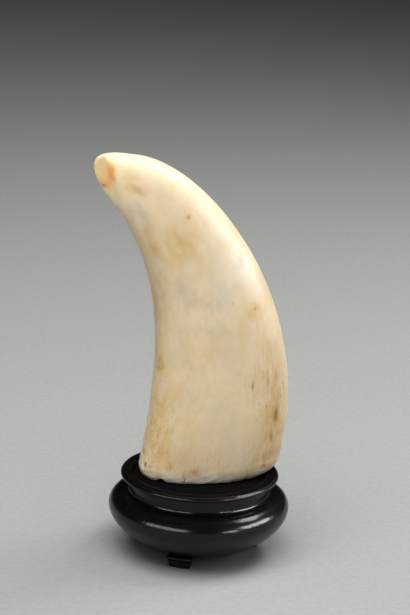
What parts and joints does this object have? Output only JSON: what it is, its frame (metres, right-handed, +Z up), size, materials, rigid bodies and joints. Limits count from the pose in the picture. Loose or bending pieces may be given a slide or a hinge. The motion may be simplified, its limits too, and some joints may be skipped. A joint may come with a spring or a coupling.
{
  "type": "polished whale tooth on a wooden stand",
  "caption": "Polished curved whale tooth standing upright in the shallow recess of a dark turned wooden stand with small feet, a display ornament.",
  "frame": {"origin": "on the surface that the feet stand on, under the middle of the whole object's box", "axes": "+Z up; -Y faces the viewer of the picture; +X is the viewer's right, so the tip of the tooth curls towards -X"},
  "size_m": [0.097, 0.0864, 0.1929],
  "materials": {
    "ivory": "polished whale ivory, creamy with tan stains and a soft gloss",
    "dark_wood": "turned hardwood, stained nearly black and lacquered to a satin gloss"
  },
  "bodies": {
    "root": {"tooth": "ivory", "stand": "dark_wood"}
  },
  "joints": []
}
